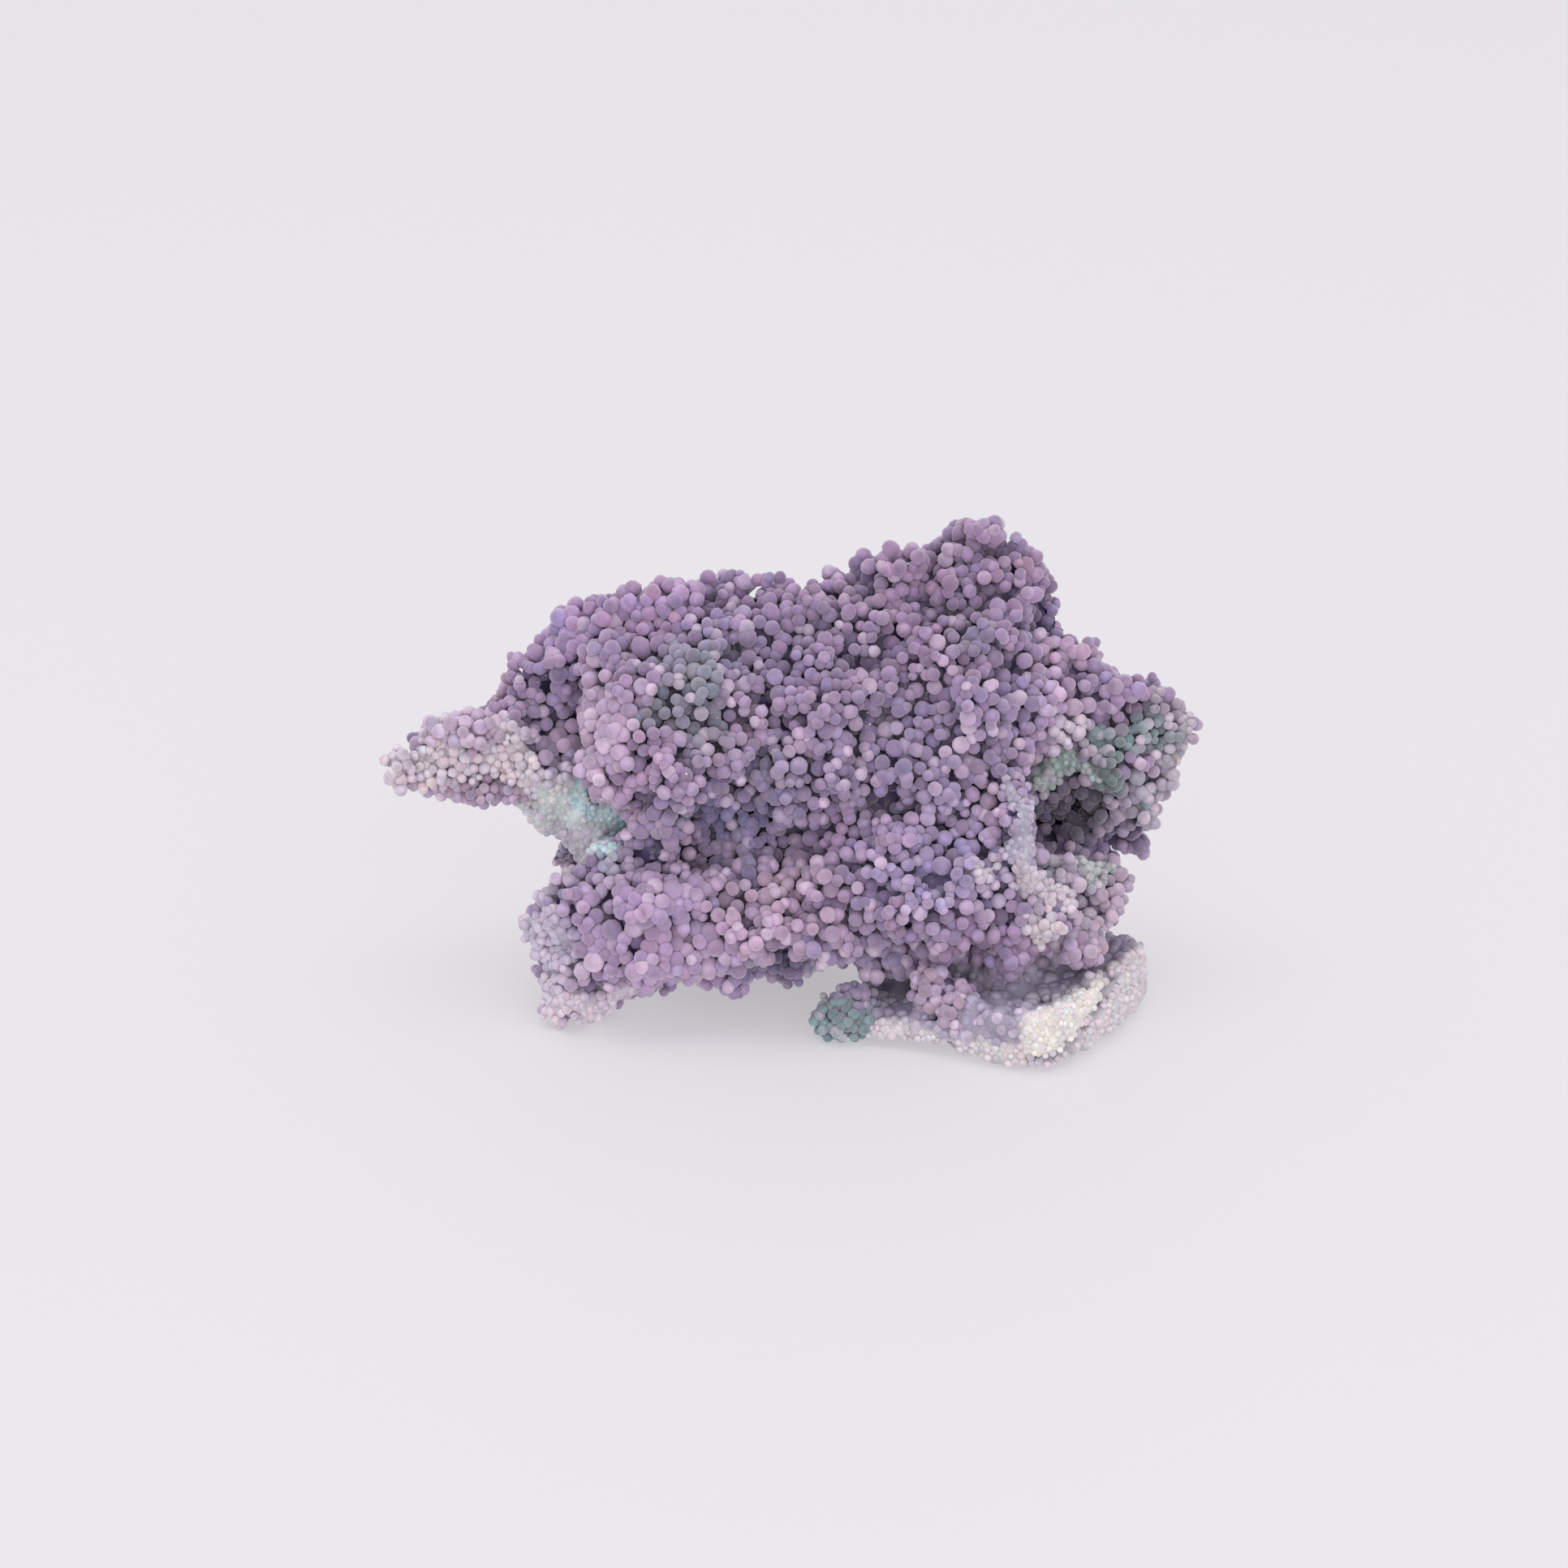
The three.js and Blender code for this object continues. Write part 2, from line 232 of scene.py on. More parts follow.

# Parts of the specimen that stand out from the rest: middle and half size in millimetres, colour, and how
# large their balls are beside the usual ones. Those with small balls are rind, bare and finely grown over.
# The dark spots, the hollow and the dark teal patch are painted darker as the shade in their recesses, and
# the blue pit is bluer and painted darker as the shade in its dip.
PLACES = {
    "shoulder": ((-28, 6, 55), (15, 9, 10), (0.315, 0.205, 0.375), 1.14),
    "pink rim": ((-30, -6, 44), (6, 9, 13), (0.405, 0.292, 0.43), 1.25),
    "grey-green patch": ((-15, -8, 51), (8, 7, 7), (0.165, 0.19, 0.24), 1),
    "foot of the patch": ((-15, -8, 45), (5, 6, 4), (0.185, 0.185, 0.25), 1),
    # The blue pit is bluer, and painted darker as the shade in its dip.
    "blue pit": ((-9, -8, 31.5), (12, 9, 7), (0.14, 0.122, 0.26), 1),
    "left wing": ((-51, -1, 37), (14, 9, 7.5), (0.67, 0.60, 0.63), 0.75),
    "notch": ((-35, 2, 28), (8, 9, 9), (0.63, 0.69, 0.67), 0.58),
    "turquoise streak": ((-31.5, -1, 31), (3.6, 7, 3), (0.55, 0.73, 0.75), 0.52),
    "foot of the streak": ((-29.5, -5, 28), (3.5, 8, 3.6), (0.56, 0.77, 0.80), 0.5),
    "lower left lobe": ((-23, -15, 17), (14, 9, 9), (0.35, 0.238, 0.42), 1.2),
    "fringe": ((-5, -17, 19), (10, 8, 9), (0.40, 0.275, 0.40), 1.05),
    "right of the crevice": ((3, -9, 28), (9, 6, 3.5), (0.41, 0.29, 0.45), 1),
    "left of the crevice": ((-15, -7, 24), (6, 7, 3.5), (0.42, 0.31, 0.46), 1),
    # Painted shade: the dark spots in the crevices under the peak and the crest and in the gap in the face.
    "dark spot under the peak": ((24, 0, 60), (8, 6, 2.6), (0.18, 0.14, 0.24), 1),
    "dark spot under the crest": ((2, -1, 59.5), (4.5, 6, 5), (0.20, 0.15, 0.27), 1),
    "dark spot on the face": ((-4, -11, 42), (4.5, 6, 7), (0.19, 0.15, 0.27), 1),
    "peak": ((30, 5, 66), (9, 10, 6), (0.32, 0.205, 0.36), 1),
    "lavender side of the lobe": ((-38, -9, 12), (5, 9, 9), (0.54, 0.50, 0.60), 0.75),
    "cream foot": ((-31, -12, 3), (10, 8, 4), (0.66, 0.59, 0.65), 0.65),
    "bulge": ((22, -16, 27), (12, 9, 9), (0.315, 0.245, 0.44), 1),
    "ridge": ((32, -14, 31), (4, 7, 9), (0.41, 0.39, 0.48), 0.5),
    "spur": ((38.5, -12, 20.5), (6.5, 7, 4.5), (0.60, 0.55, 0.58), 0.8),
    "root of the spur": ((33, -17, 25), (6, 4, 4), (0.60, 0.53, 0.58), 0.62),
    "end of the spur": ((46, -9, 19), (5, 8, 7), (0.36, 0.28, 0.37), 1),
    "green top of the spur": ((40, -9, 25), (9, 5, 1.6), (0.36, 0.425, 0.40), 0.7),
    "front of the right wing": ((41, -2, 41.5), (6, 4, 4.5), (0.56, 0.48, 0.56), 0.9),
    "tip of the right wing": ((57, 5, 39), (4, 8, 8), (0.33, 0.30, 0.335), 0.65),
    "lower edge of the right wing": ((53, 5, 27), (6, 8, 7), (0.40, 0.38, 0.43), 1.12),
    "underside of the right wing": ((45, 4, 27), (5, 8, 7), (0.31, 0.28, 0.37), 1.05),
    # The dark teal patch is teal, painted darker as the shade under the teal patch.
    "dark teal patch": ((44.5, 1, 35.5), (6, 7, 4.5), (0.085, 0.14, 0.13), 0.9),
    "pale green lip": ((39.5, 4.5, 34.5), (3.4, 5, 2.4), (0.46, 0.58, 0.53), 0.65),
    "teal spot": ((53, 4, 30), (1.8, 4, 2.4), (0.14, 0.26, 0.25), 0.7),
    "teal patch": ((50.5, 2, 39), (7, 6, 3.2), (0.13, 0.22, 0.215), 0.85),
    "right slope": ((41, 4, 52), (5, 8, 6), (0.48, 0.33, 0.48), 1),
    "foot of the notch": ((-36, 0, 21.5), (6.5, 16, 5.5), (0.50, 0.48, 0.53), 0.62),
    # Painted shade: the hollow is painted nearly black as the shade in it.
    "hollow": ((39, 8, 26), (6, 8, 6), (0.085, 0.08, 0.12), 0.95),
    "knob": ((6, -16, 3.5), (7, 5, 4), (0.15, 0.25, 0.26), 0.6),
    "pink patch on the back": ((-22, 27, 34), (12, 9, 9), (0.36, 0.25, 0.42), 1.12),
    "grey patch on the back": ((10, 30, 26), (11, 8, 7), (0.22, 0.205, 0.30), 1),
    "back foot": ((-8, 26, 6), (12, 10, 5), (0.56, 0.50, 0.55), 0.7),
}
# The two mauves that drift into each other over the rest, and how far and at what length the borders wander.
USUAL, USUAL_LENGTH = ((0.30, 0.188, 0.335), (0.23, 0.166, 0.312)), 26
DRIFT, DRIFT_LENGTH = 3.5, 9
LEDGE_COLOURS = {"top": (0.36, 0.323, 0.427), "rim": (0.79, 0.755, 0.70), "side": (0.65, 0.61, 0.625),
                 "groove": (0.40, 0.37, 0.42), "shaded": (0.20, 0.185, 0.25)}
LEDGE_SIZE, RIM_SIZE = 0.8, 0.52
# The part of the ledge's top in the bulge's shade: middle and half size.
SHADED = ((18, -11, 9), (11, 4.5, 4))
# Sizes of balls from which the stone starts to be, and at which it is, finely grown rind.
FINE = (0.9, 0.65)
# Brightness from which stone starts to be, and at which it is, pale. Between the balls the crust is painted
# darker, as the shade in the gaps between them.
PALE = (0.38, 0.55)
GAP_PAINTED_SHADE = np.array((0.27, 0.26, 0.36))


def survey(places):
    """The colour of the chalcedony at places on the skin, and the size of its balls there."""
    drift = np.stack([waves(places, DRIFT_LENGTH, seed) for seed in (1, 2, 3)], 1)
    shares = ramp(waves(places, USUAL_LENGTH, 4), -0.6, 0.6)[:, None]
    colour = np.array(USUAL[0]) * (1 - shares) + np.array(USUAL[1]) * shares
    size = np.ones(len(places))
    for middle, half, own, own_size in PLACES.values():
        share = inside(places + DRIFT * drift, middle, half)
        colour += share[:, None] * (own - colour)
        size += share * (own_size - size)
    ledge, rim = on_ledge(places), on_rim(places)
    side = rim * ramp(above_groove(places), 0.5, -0.5)
    shaded = ledge * inside(places, *SHADED)
    zones = {"top": ledge, "rim": rim, "side": side, "groove": ledge * groove(places), "shaded": shaded}
    for name, share in zones.items():
        colour += share[:, None] * (LEDGE_COLOURS[name] - colour)
    size += ledge * (LEDGE_SIZE - size)
    return colour, size + rim * (RIM_SIZE - size)


# Clearances, in shares of the depth, up to which stone is too thin for that depth, and from which it isn't.
CROWDED = (0.6, 0.8)
skin_sheet = BVHTree.FromPolygons(skin.tolist(), skin_corners.tolist())


def clearance(places):
    """How far places lie from the nearest side of the skin, in millimetres."""
    return np.array([skin_sheet.find_nearest(place)[3] for place in places.tolist()])


def room(places, depth):
    """1 where places lie at nearly a depth under the skin, 0 where another side of it is much nearer."""
    return ramp(clearance(places) / depth, *CROWDED)


def keep_colour(mesh, colour):
    """Keeps a colour for each point of a mesh, for its material to read."""
    attribute = mesh.attributes.new("tint", "FLOAT_COLOR", "POINT")
    attribute.data.foreach_set("color", np.c_[colour, np.ones(len(colour))].astype(np.float32).ravel())


def break_off(mesh, points):
    """Takes points and the faces round them out of a closed mesh, and closes the holes."""
    sheet = bmesh.new()
    sheet.from_mesh(mesh)
    sheet.verts.ensure_lookup_table()
    bmesh.ops.delete(sheet, geom=[sheet.verts[i] for i in points], context="VERTS")
    loose = [point for point in sheet.verts if not point.link_faces]
    bmesh.ops.delete(sheet, geom=loose, context="VERTS")
    bmesh.ops.holes_fill(sheet, edges=[edge for edge in sheet.edges if edge.is_boundary])
    sheet.to_mesh(mesh)
    sheet.free()


class Wire:
    """One value in a node tree, which its methods pass through further nodes."""

    def __init__(self, tree, socket=None):
        self.tree, self.socket = tree, socket

    def node(self, kind, settings=(), sockets=(), out=0):
        """Adds a node, sets its settings, then its sockets from values or wires, and gives one output."""
        node = self.tree.nodes.new(kind)
        for name, value in dict(settings).items():
            setattr(node, name, value)
        for name, value in dict(sockets).items():
            if isinstance(value, Wire):
                self.tree.links.new(value.socket, node.inputs[name])
            else:
                node.inputs[name].default_value = value
        return Wire(self.tree, node.outputs[out])

    def ramp(self, low, high, start=0.0, end=1.0):
        """start where this value is at low, end where it is at high, and a smooth S between."""
        ends = {"From Min": low, "From Max": high, "To Min": start, "To Max": end}
        return self.node("ShaderNodeMapRange", {"interpolation_type": "SMOOTHSTEP"}, {"Value": self, **ends})

    def scaled(self, factor):
        """This colour times a number."""
        return self.node("ShaderNodeVectorMath", {"operation": "SCALE"}, {0: self, "Scale": factor})

    def noise(self, size, detail=2.0):
        """Noise from 0 to 1 over places, in blotches of a size in millimetres."""
        return self.node("ShaderNodeTexNoise", (), {"Vector": self, "Scale": 1 / size, "Detail": detail})

    def bump(self, strength, distance):
        """A normal with this value as its relief, of a strength and of a height in millimetres."""
        sockets = {"Height": self, "Strength": strength, "Distance": distance * MM}
        return self.node("ShaderNodeBump", (), sockets)


def start_material(name):
    """A new material: itself, its shader, and wires for the place in millimetres and its kept colour."""
    material = bpy.data.materials.new(name)
    material.use_nodes = True
    start = Wire(material.node_tree)
    place = start.node("ShaderNodeTexCoord", out="Object").scaled(1 / MM)
    tint = start.node("ShaderNodeAttribute", {"attribute_name": "tint"}, out="Color")
    return material, material.node_tree.nodes["Principled BSDF"], place, tint


def connect(shader, **sockets):
    """Sets a shader's sockets from values or wires. An underscore in a name stands for a space."""
    for name, value in sockets.items():
        socket = shader.inputs[name.replace("_", " ")]
        if isinstance(value, Wire):
            value.tree.links.new(value.socket, socket)
        else:
            socket.default_value = value


crust_colour, crust_size = survey(skin)
bare = np.maximum(ramp(crust_size, *FINE), on_ledge(skin))
depth = CRUST_DEPTH + (RIND_DEPTH - CRUST_DEPTH) * bare
depth = RIND_DEPTH + (depth - RIND_DEPTH) * room(skin - depth[:, None] * skin_normals, depth)
depth += GROOVE_DEPTH * groove(skin) + dug(skin) + bare * lumps(skin)
halfway = (depth + clearance(skin - depth[:, None] * skin_normals)) / 2
depth = np.minimum(depth, halfway)
inner = skin - depth[:, None] * skin_normals
inner[:, 2] = np.maximum(inner[:, 2], CRUST_FLOOR)
crust_mesh.vertices.foreach_set("co", (inner * MM).astype(np.float32).ravel())
crust_mesh.update()
crust_mesh.shade_smooth()
# Painted shade: the crust is darker between the balls, except where it is bare rind or pale.
pale = np.maximum(bare, ramp(crust_colour.mean(1), *PALE))[:, None]
keep_colour(crust_mesh, crust_colour * (GAP_PAINTED_SHADE + (1 - GAP_PAINTED_SHADE) * pale))
break_off(crust_mesh, np.flatnonzero(inside(inner, *STRUT) > 0.5))

crust_material, shader, place, tint = start_material("crust")
cloud, grain = place.noise(2.5, 3), place.noise(0.6, 3)
connect(shader, Base_Color=tint.scaled(cloud.ramp(0.3, 0.7, 0.8, 1.15)),
        Roughness=grain.ramp(0.35, 0.65, 0.32, 0.6), Normal=grain.bump(0.5, 0.2),
        Subsurface_Weight=0.3, Subsurface_Scale=1.2 * MM, Subsurface_Radius=(1, 0.9, 1), IOR=1.54)
crust_mesh.materials.clear()
crust_mesh.materials.append(crust_material)
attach(crust, "root")
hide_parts("chalcedony")


# The balls
# Thousands of round heads of translucent chalcedony on short stalks that grew out of the crust, in bunches,
# at several depths. Nearly all measure 2 to 3 mm, many are merged in twos and threes, and the rind has
# smaller ones. They are thrown at random places under the skin and thinned, so that they lie close.
CANDIDATES = 90000
# Angles of a ball's rings from its tip, in degrees, and the points round each ring.
RINGS, AROUND = (33, 67, 106), 11
DEEP_RINGS, DEEP_AROUND = (38, 76, 115), 7
# How bright a ball is painted at its tip, how much brighter at its flanks, as painted light at the rim of a
# translucent ball, and how much darker at its stalk's end, as painted shade where balls meet.
TIP_PAINTED_SHADE, FLANK_PAINTED_LIGHT, STALK_PAINTED_SHADE = 0.8, 0.4, (0.5, 0.55, 0.35)
# How far off its axis, in radii, a ball's tip ends and its flank has fully begun.
FLANK = (0.2, 1)
# Where the stalk starts below a ball's middle, and the least height of the middle over the table, in radii.
STALK_START, STANDING = 0.4, 0.8
# The least height of any of its points over the table, in millimetres.
BALL_FLOOR = 0.02
# The least and the greatest radius in millimetres. A bias above 1 makes small balls the more common.
BALL_RADIUS, RADIUS_BIAS = (0.92, 1.42), 1.5
# Depth of the tips below the skin in each layer, the least and how much more, and how close its balls pack.
LAYERS = ((-0.6, 1.7, 0.86), (1.4, 1.5, 0.8), (2.9, 0.9, 0.76))
# Sizes of balls from which they start to merge, and at which they have merged, closer and flatter than most.
MERGED, CLOSER, FLATTER, RAISED = (1.05, 1.2), 0.2, 0.6, 0.5
# How far a ball leans off the normal, its height in diameters, its stalk in radii, and how much that loses
# where the stone is thin.
LEAN, STRETCH, STALK, THIN_STALK = 0.25, (0.92, 1.3), 0.8, 0.5
# How much deeper the balls lie between the bunches, the bunches' length, and how much deeper they lie on top
# of the crest, all in millimetres, and the heights between which the crest starts.
RELIEF, RELIEF_LENGTH, RELIEF_RANGE = 2.8, 6, (0.0, 1.1)
CREST_SUNK, CREST_HEIGHT = 0.8, (59, 64)
# How far the skin faces up where the ledge's and the crest's tops start and where they have fully begun.
LEDGE_FACING, CREST_FACING = (0.4, 0.7), (0.2, 0.6)
# How flat the rind's balls lie, beside the usual ones: the depth of the tips, and its spread.
RIND_TIP, RIND_SPREAD = -0.15, 0.3
# Below this height no ball grows on the undersides, which face down at least this far.
FOOT_HEIGHT, UNDERSIDE = 0.8, -0.5
# In pits balls are shaded as if they lay deeper, by this share of the pit's depth.
PIT_SHADE = 0.5
# The least depth in millimetres of stone that a ball's middle needs round it.
LEAST_DEPTH = 0.6
# How many balls have buds, how many are tried on each, how high their tips reach and how close they pack.
BUD_SHARE, BUD_TRIES, BUD_TIP, BUD_REACH = 0.6, 3, -0.9, 0.5
# Their radius in the parent's radii, their gap from it in both radii, and how far they point outward.
BUD_RADIUS, BUD_GAP, BUD_OUTWARD, BUD_LEAN = (0.72, 1.08), (0.55, 0.8), 0.5, 0.4
# How much the balls' brightness and hue vary at random, how much less pale balls' brightness varies and
# darkens with depth, and the brightness from which balls start to vary towards pink and frost.
SHADES, HUES = (-0.27, 0.23), (0.045, 0, -0.03)
PALE_STEADY, PALE_UNSUNK, LIT = 0.5, 0.75, (0.08, 0.2)
# Depths of tips and heights at which balls are proud, chances of being frosted, and depths at which balls are
# sunk, with what each does to the colour. Proud balls turn pinker and paler, partly their own pink and partly
# painted light on the outermost balls; sunk ones turn darker and bluer, as painted shade.
PROUD_DEPTH, PROUD_HEIGHT, PROUD_SHARE, PROUD_PINK_AND_LIGHT = (0.8, -0.9), (60, 46), 0.4, (0.66, 0.50, 0.64)
FROSTED, FROSTED_SHARE, FROSTED_COLOUR = (0.74, 0.98), 0.5, (0.68, 0.55, 0.66)
SUNK_DEPTH, SUNK_PAINTED_SHADE = (0.2, 3.0), (0.62, 0.64, 0.52)
# Parts of the specimen and their middles in millimetres. Each has a piece of its own for each kind of ball.
PARTS = {
    "face_left": (-16, -10, 46), "face_right": (18, -10, 46), "crest": (0, 10, 60),
    "left_wing": (-44, 5, 38), "right_wing": (44, 8, 38), "lower_left": (-20, -12, 16),
    "bulge": (24, -12, 22), "back_left": (-20, 22, 38), "back_right": (22, 24, 36),
    "back_foot": (-4, 20, 12), "ledge": (30, -20, 4),
}
MIDDLES = np.array(list(PARTS.values()), float)

draw = np.random.default_rng(7)


def unit(vectors):
    """Vectors divided by their own lengths."""
    return vectors / np.linalg.norm(vectors, axis=-1, keepdims=True)


def scatter(count):
    """Random places on the skin and its normals there: a triangle drawn by its area, then a point in it."""
    a, b, c = (skin[skin_corners[:, k]] for k in range(3))
    area = np.linalg.norm(np.cross(b - a, c - a), axis=1)
    chosen = skin_corners[draw.choice(len(area), count, p=area / area.sum())]
    s, t = np.sqrt(draw.random(count)), draw.random(count)
    shares = np.stack([1 - s, s * (1 - t), s * t], 1)[:, :, None]
    return (skin[chosen] * shares).sum(1), unit((skin_normals[chosen] * shares).sum(1))


def spread(centres, reach, taken=(), taken_reach=()):
    """Goes through balls in order and keeps each whose reach meets no reach of one kept before or taken."""
    tree = KDTree(len(centres))
    for i, centre in enumerate(centres):
        tree.insert(centre, i)
    tree.balance()
    free = np.ones(len(centres), bool)
    largest = reach.max()

    def clear_round(centre, own):
        for _, i, gap in tree.find_range(centre, own + largest):
            if gap < own + reach[i]:
                free[i] = False

    for centre, own in zip(taken, taken_reach):
        clear_round(centre, own)
    kept = []
    for i in range(len(centres)):
        if free[i]:
            kept.append(i)
            clear_round(centres[i], reach[i])
    return np.array(kept)


def heads(name, balls, rings, around):
    """Round-headed stalks in one mesh. A point at angle u round the axis and at angle v down from the tip
    lies at (sin v cos u, sin v sin u, cos v) times the radius, its height times the ball's stretch. From
    STALK_START below the middle on, the shape is drawn out into the stalk. Flanks are painted brighter than
    tips, as the light at a translucent ball's rim, and stalks are painted darker, as the shade where balls
    meet."""
    v = np.radians(rings)[:, None]
    u = np.arange(around) * 2 * math.pi / around
    ring = np.stack([np.sin(v) * np.cos(u), np.sin(v) * np.sin(u), np.cos(v) + 0 * u], -1).reshape(-1, 3)
    shape = np.concatenate([[[0, 0, 1]], ring, [[0, 0, -1]]])
    drawn = np.clip((-shape[:, 2] - STALK_START) / (1 - STALK_START), 0, 1)
    axes = balls["axis"]
    side = unit(np.cross(axes, draw.normal(size=axes.shape)))
    other = np.cross(axes, side)
    height = shape[:, 2] * balls["stretch"][:, None] - drawn * balls["stalk"][:, None]
    points = (shape[:, 0, None] * side[:, None] + shape[:, 1, None] * other[:, None]
              + height[:, :, None] * axes[:, None])
    points = balls["centre"][:, None] + balls["radius"][:, None, None] * points
    points[..., 2] = np.maximum(points[..., 2], BALL_FLOOR)
    i, after, last = np.arange(around), (np.arange(around) + 1) % around, len(shape) - 1 - around
    caps = np.concatenate([np.stack([0 * i, 1 + i, 1 + after], 1),
                           np.stack([last + i, 0 * i + len(shape) - 1, last + after], 1)])
    bands = np.array([np.stack([start + i, start + around + i, start + around + after, start + after], 1)
                      for start in range(1, last, around)], int).reshape(-1, 4)
    offsets = np.arange(len(axes))[:, None, None] * len(shape)
    faces = (caps[None] + offsets).reshape(-1, 3).tolist() + (bands[None] + offsets).reshape(-1, 4).tolist()
    mesh = bpy.data.meshes.new(name)
    mesh.from_pydata(points.reshape(-1, 3) * MM, [], faces)
    # Painted light on the flanks and painted shade on the stalks.
    flank = TIP_PAINTED_SHADE + FLANK_PAINTED_LIGHT * ramp(np.linalg.norm(shape[:, :2], axis=1), *FLANK)
    flank = flank[:, None] * (1 - drawn[:, None] * STALK_PAINTED_SHADE)
    keep_colour(mesh, (balls["colour"][:, None] * flank[None]).reshape(-1, 3))
    mesh.shade_smooth()
    piece = bpy.data.objects.new(name, mesh)
    bpy.context.collection.objects.link(piece)
    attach(piece, "root")
    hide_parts("chalcedony")
    return piece


def join(*groups):
    """One group of balls from several."""
    return {key: np.concatenate([group[key] for group in groups]) for key in groups[0]}


def pick(balls, chosen):
    """The chosen balls of a group."""
    return {key: value[chosen] for key, value in balls.items()}


def dress(name, balls, rings, around, material):
    """Makes heads for balls, in one piece for each part of the specimen."""
    nearest = np.linalg.norm(balls["centre"][:, None] - MIDDLES[None], axis=2).argmin(1)
    for k, part in enumerate(PARTS):
        if (nearest == k).any():
            piece = heads(f"{part}_{name}", pick(balls, nearest == k), rings, around)
            piece.data.materials.append(material)


def candidates(least, more):
    """Balls at random places under the skin, deeper between the bunches, before any are left out for lying
    too close. None stand on the ledge's top, in its groove, under the feet or where the stone is thin."""
    places, normals = scatter(CANDIDATES)
    colour, size = survey(places)
    ledge, fine, merged = on_ledge(places), ramp(size, *FINE), ramp(size, *MERGED)
    keep = draw.random(len(places)) > ledge * (1 - on_rim(places)) * ramp(normals[:, 2], *LEDGE_FACING)
    keep &= (places[:, 2] > FOOT_HEIGHT) | (normals[:, 2] > UNDERSIDE)
    keep &= groove(places) < 0.5
    smallest, largest = BALL_RADIUS
    radius = (smallest + (largest - smallest) * draw.random(len(places)) ** RADIUS_BIAS) * size
    relief = RELIEF * ramp(waves(places, RELIEF_LENGTH, 5), *RELIEF_RANGE)
    relief = relief * (1 - fine) * (1 - FLATTER * merged)
    below = least + more * draw.random(len(places)) + relief
    thin = 1 - room(places - CRUST_DEPTH * normals, CRUST_DEPTH)
    shallow = RIND_TIP + RIND_SPREAD * (below - least)
    below += np.maximum(np.maximum(fine, ledge), thin) * (shallow - below)
    below -= RAISED * merged * (below - least)
    below += np.maximum(fine, ledge) * lumps(places)
    below += CREST_SUNK * ramp(places[:, 2], *CREST_HEIGHT) * ramp(normals[:, 2], *CREST_FACING)
    pit = dug(places)
    centre = places - (below + pit + radius)[:, None] * normals
    below += PIT_SHADE * pit
    keep &= room(centre, np.maximum(below + radius, LEAST_DEPTH)) > 0.5
    centre[:, 2] = np.maximum(centre[:, 2], STANDING * radius)
    lean = unit(normals + LEAN * draw.normal(size=normals.shape))
    balls = {"centre": centre, "radius": radius, "axis": lean, "below": below, "colour": colour,
             "fine": fine, "merged": merged, "outward": normals, "stalk": STALK - THIN_STALK * thin,
             "stretch": draw.uniform(*STRETCH, len(places))}
    return pick(balls, keep)


def budded(parents):
    """Buds merged with balls: each sits beside its parent, or outward, closer than the two would touch."""
    share = BUD_SHARE * (1 - parents["fine"])
    chosen = np.repeat(np.flatnonzero(draw.random(len(share)) < share), BUD_TRIES)
    buds = pick(parents, chosen)
    way = unit(draw.normal(size=buds["axis"].shape) + BUD_OUTWARD * buds["outward"])
    radius = buds["radius"] * draw.uniform(*BUD_RADIUS, len(chosen))
    gap = (buds["radius"] + radius) * draw.uniform(*BUD_GAP, len(chosen))
    buds["centre"] = buds["centre"] + gap[:, None] * way
    buds["centre"][:, 2] = np.maximum(buds["centre"][:, 2], STANDING * radius)
    buds["below"] = buds["below"] - gap * (way * buds["outward"]).sum(1) - radius + buds["radius"]
    buds["axis"] = unit(way + BUD_LEAN * buds["outward"])
    buds["radius"], buds["stalk"] = radius, 0 * radius
    return pick(buds, buds["below"] > BUD_TIP)


def coloured(balls):
    """Gives each ball a shade of its own at random, and makes it pinker and paler where it stands proud,
    partly as painted light, darker and bluer where it lies deep, as painted shade, and about one in seven
    frosted nearly white. Pale stone varies less, and the darkest stays dark."""
    colour, luck = balls["colour"], draw.random(len(balls["radius"]))[:, None]
    pale = ramp(colour.mean(1), *PALE)[:, None]
    colour = colour * (1 + draw.uniform(*SHADES, (len(colour), 1)) * (1 - PALE_STEADY * pale))
    colour = colour * (1 + draw.normal(size=(len(colour), 1)) * HUES)
    lit = ramp(balls["colour"].mean(1), *LIT)[:, None]
    # Partly painted light on the proud balls, and painted shade on the sunk ones further down.
    proud = ramp(balls["below"], *PROUD_DEPTH) * ramp(balls["centre"][:, 2], *PROUD_HEIGHT)
    colour = colour + proud[:, None] * lit * luck * PROUD_SHARE * (PROUD_PINK_AND_LIGHT - colour)
    colour = colour + ramp(luck, *FROSTED) * lit * FROSTED_SHARE * (FROSTED_COLOUR - colour)
    sunk = ramp(balls["below"], *SUNK_DEPTH)[:, None] * (1 - PALE_UNSUNK * pale)
    balls["colour"] = colour * (1 - sunk * SUNK_PAINTED_SHADE)
    return balls


outer = candidates(*LAYERS[0][:2])
packing = LAYERS[0][2] - CLOSER * outer["fine"] - CLOSER * outer["merged"]
outer = pick(outer, spread(outer["centre"], packing * outer["radius"]))
buds = budded(outer)
kept = spread(buds["centre"], BUD_REACH * buds["radius"], outer["centre"], BUD_REACH * outer["radius"])
outer = join(outer, pick(buds, kept))
deep = None
for least, more, packing in LAYERS[1:]:
    layer = candidates(least, more)
    taken = outer if deep is None else join(outer, deep)
    kept = spread(layer["centre"], packing * layer["radius"], taken["centre"], packing * taken["radius"])
    deep = pick(layer, kept) if deep is None else join(deep, pick(layer, kept))
outer, deep = coloured(outer), coloured(deep)

